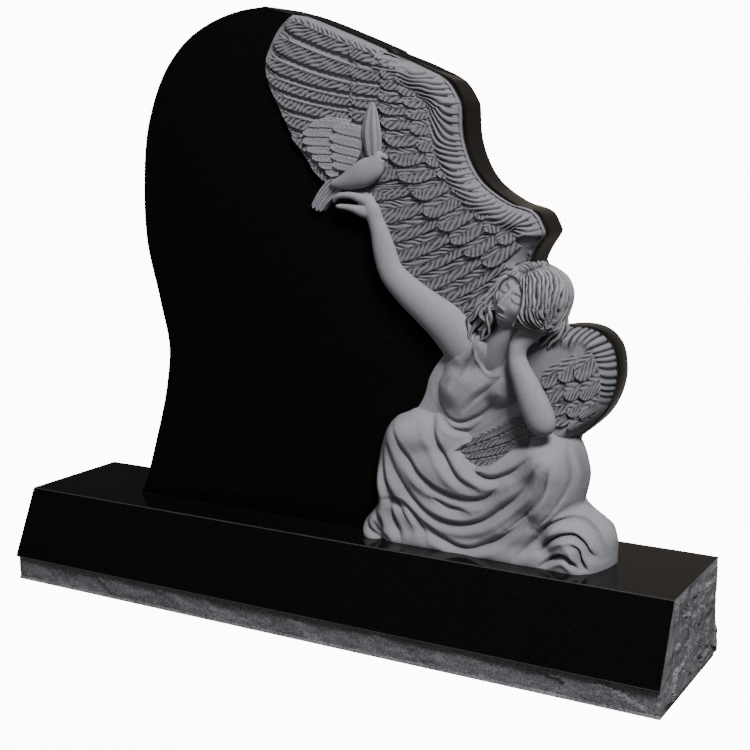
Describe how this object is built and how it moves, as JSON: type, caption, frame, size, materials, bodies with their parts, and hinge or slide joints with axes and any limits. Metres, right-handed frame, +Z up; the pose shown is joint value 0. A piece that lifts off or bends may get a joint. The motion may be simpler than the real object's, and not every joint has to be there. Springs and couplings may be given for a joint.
{
  "type": "angel headstone",
  "caption": "Upright granite headstone with a polished blank panel and a carved seated angel raising a dove, its wing forming the side, set on a long granite base.",
  "frame": {"origin": "middle of the base's underside, on the ground", "axes": "+X to the right along the base for someone facing the panel, -Y out of the polished panel, +Z up"},
  "size_m": [1.524, 0.343, 1.2453],
  "materials": {
    "base_granite": "polished black granite with rock-pitched grey margin and ends",
    "stone_granite": "black granite, polished panel and edge, honed blue-grey carving"
  },
  "bodies": {
    "root": {"base": "base_granite", "angel_stone": "stone_granite"}
  },
  "joints": []
}
